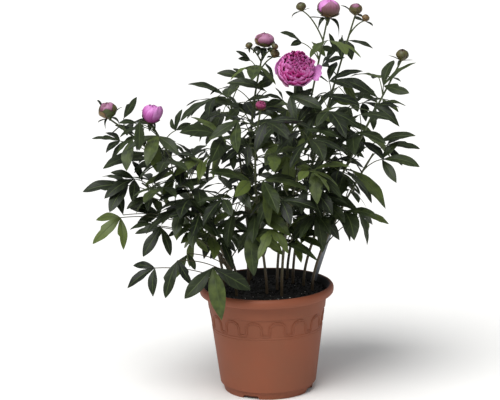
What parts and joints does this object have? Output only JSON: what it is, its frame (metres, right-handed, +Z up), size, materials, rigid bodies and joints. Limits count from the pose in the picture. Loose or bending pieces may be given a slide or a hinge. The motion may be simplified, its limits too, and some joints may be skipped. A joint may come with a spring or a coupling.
{
  "type": "potted peony",
  "caption": "Leafy double-flowered pink peony plant with an open bloom and buds, in a terracotta-coloured plastic pot with a frieze of arches",
  "frame": {"origin": "on the pot's axis, at the level of the floor that the pot stands on", "axes": "+Z up along the pot's axis; -Y is the front, the side that the picture shows; +X to the right of it"},
  "size_m": [0.641, 0.447, 0.7575],
  "materials": {
    "pot_plastic": "matt terracotta-coloured plastic",
    "potting_soil": "damp peat soil",
    "label_plastic": "satin grey plastic",
    "leaf_and_stalk": "semi-gloss dark green leaf",
    "pink_petal": "soft matt pink petal",
    "crimson_petal": "soft matt crimson petal"
  },
  "bodies": {
    "root": {"pot": "pot_plastic", "soil": "potting_soil", "plant_label": "label_plastic", "stem_cluster": "leaf_and_stalk", "stem_top_bud": "leaf_and_stalk", "stem_right_top": "leaf_and_stalk", "stem_bloom": "leaf_and_stalk", "stem_right_bud": "leaf_and_stalk", "stem_far_left": "leaf_and_stalk", "stem_left_pink": "leaf_and_stalk", "stem_small_red": "leaf_and_stalk", "stem_left_mid": "leaf_and_stalk", "stem_left_front": "leaf_and_stalk", "stem_right_mid": "leaf_and_stalk", "stem_centre_front": "leaf_and_stalk", "stem_back_left": "leaf_and_stalk", "stem_back_right": "leaf_and_stalk", "petals_cluster": "pink_petal", "petals_top": "pink_petal", "petals_far_left": "pink_petal", "petals_left_pink": "pink_petal", "petals_small_red": "crimson_petal", "petals_bloom": "pink_petal"}
  },
  "joints": []
}
